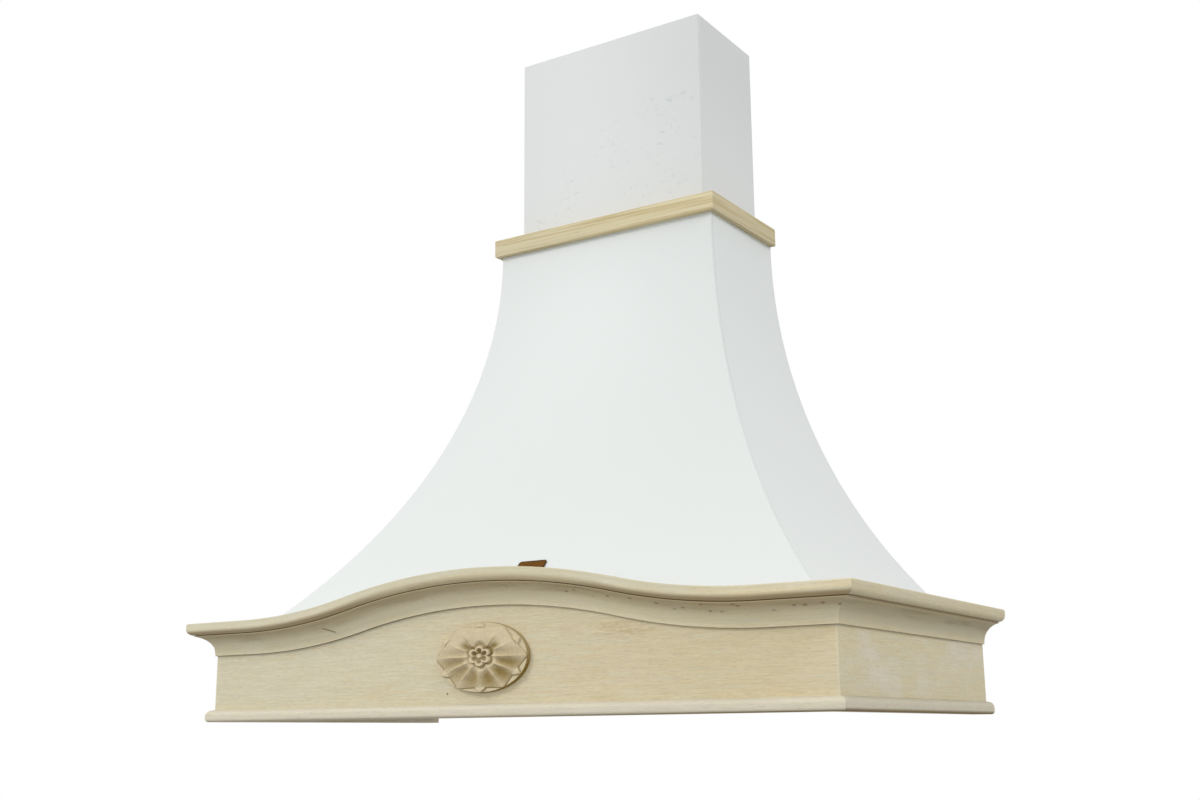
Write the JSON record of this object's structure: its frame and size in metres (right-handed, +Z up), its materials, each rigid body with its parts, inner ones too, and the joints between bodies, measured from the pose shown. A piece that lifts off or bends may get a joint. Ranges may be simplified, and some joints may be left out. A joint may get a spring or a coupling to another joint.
{
  "type": "wooden range hood cover",
  "caption": "Wall-hung wooden range hood cover: moulded frame with a waved crown, oval rosette, bell-shaped canopy, neck band and a flue cover that slides up.",
  "frame": {"origin": "on the wall plane, at the middle of the lower edge of the frame's back rail", "axes": "+X to the right seen from in front, +Y into the wall (the front faces -Y), +Z up"},
  "size_m": [0.963, 0.4775, 0.978],
  "materials": {
    "frame_wood": "bare sanded pale wood",
    "band_wood": "bare sanded wood, yellower, with open grain",
    "white_paint": "board with matt off-white paint",
    "plywood": "unfinished plywood",
    "softwood": "planed softwood",
    "liner_steel": "brushed sheet",
    "screw_steel": "bright zinc",
    "brown_plate": "brown, blank"
  },
  "bodies": {
    "hood": {"back_block_left": "softwood", "back_block_right": "softwood", "back_rail": "softwood", "badge": "brown_plate", "band_front": "band_wood", "band_side_left": "band_wood", "band_side_right": "band_wood", "block_screws": "screw_steel", "canopy_front": "white_paint", "canopy_side_left": "white_paint", "canopy_side_right": "white_paint", "cleat_screws": "screw_steel", "deck_back": "plywood", "deck_front": "plywood", "deck_screws": "screw_steel", "deck_side_left": "plywood", "deck_side_right": "plywood", "flue_shelf": "plywood", "front_bead": "frame_wood", "front_block_left": "softwood", "front_block_right": "softwood", "front_board": "frame_wood", "front_crown": "frame_wood", "front_rib_left": "plywood", "front_rib_right": "plywood", "hip_rib_left": "plywood", "hip_rib_right": "plywood", "hood_cleat": "softwood", "ledger_back": "softwood", "ledger_front": "softwood", "ledger_left": "softwood", "ledger_right": "softwood", "liner": "liner_steel", "liner_screws": "screw_steel", "neck_ring": "plywood", "rosette": "frame_wood", "side_bead_left": "frame_wood", "side_bead_right": "frame_wood", "side_board_left": "frame_wood", "side_board_right": "frame_wood", "side_crown_left": "frame_wood", "side_crown_right": "frame_wood", "side_rib_left": "plywood", "side_rib_right": "plywood", "wall_cleat": "softwood", "wall_rib_left": "plywood", "wall_rib_right": "plywood"},
    "flue": {"flue_back_batten_left": "softwood", "flue_back_batten_right": "softwood", "flue_front": "white_paint", "flue_front_batten_left": "softwood", "flue_front_batten_right": "softwood", "flue_plate_screws": "screw_steel", "flue_side_left": "white_paint", "flue_side_right": "white_paint", "flue_top_plate": "plywood"}
  },
  "joints": [
    {"name": "flue_slide", "type": "slide", "parent": "hood", "child": "flue", "axis": [0, 0, 1], "range_m": [0, 0.15]}
  ]
}
